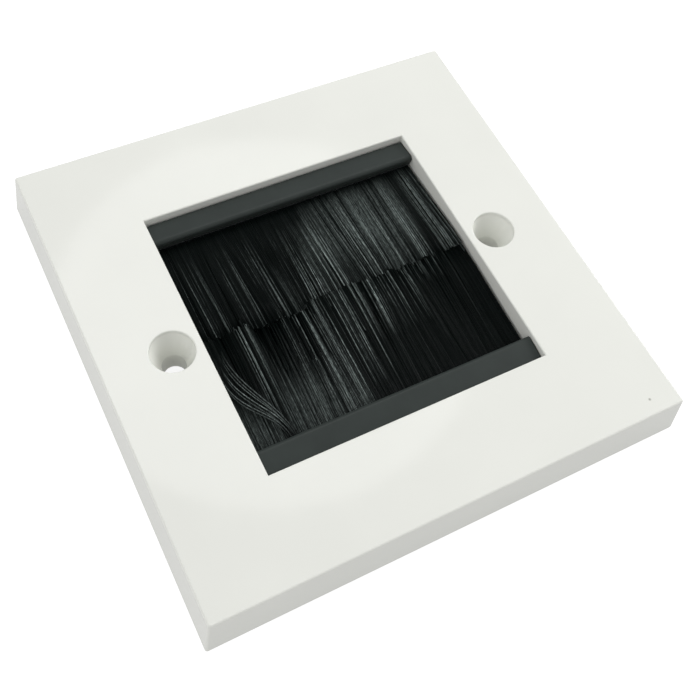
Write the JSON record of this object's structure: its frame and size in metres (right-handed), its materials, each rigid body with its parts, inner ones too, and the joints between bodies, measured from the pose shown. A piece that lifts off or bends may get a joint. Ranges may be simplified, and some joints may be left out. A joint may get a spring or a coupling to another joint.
{
  "type": "brush cable grommet",
  "caption": "Square white wall plate whose opening is closed by facing rows of black bristles, so cables pass through the wall neatly; a countersunk screw hole on each side.",
  "frame": {"origin": "middle of the back plane, where the plate meets the wall", "axes": "+Z out of the front face, X along the line of the screw holes, +Y towards the upper brush"},
  "size_m": [0.086, 0.086, 0.009],
  "materials": {
    "white_plate": "gloss moulded",
    "black_holder": "satin moulded",
    "zinc_steel": "zinc plated, rolled",
    "black_nylon": "drawn filament"
  },
  "bodies": {
    "root": {"face_plate": "white_plate", "upper_brush_holder": "black_holder", "lower_brush_holder": "black_holder", "upper_brush_channel": "zinc_steel", "lower_brush_channel": "zinc_steel", "upper_core_wire": "zinc_steel", "lower_core_wire": "zinc_steel", "upper_bristles": "black_nylon", "lower_bristles": "black_nylon"}
  },
  "joints": []
}
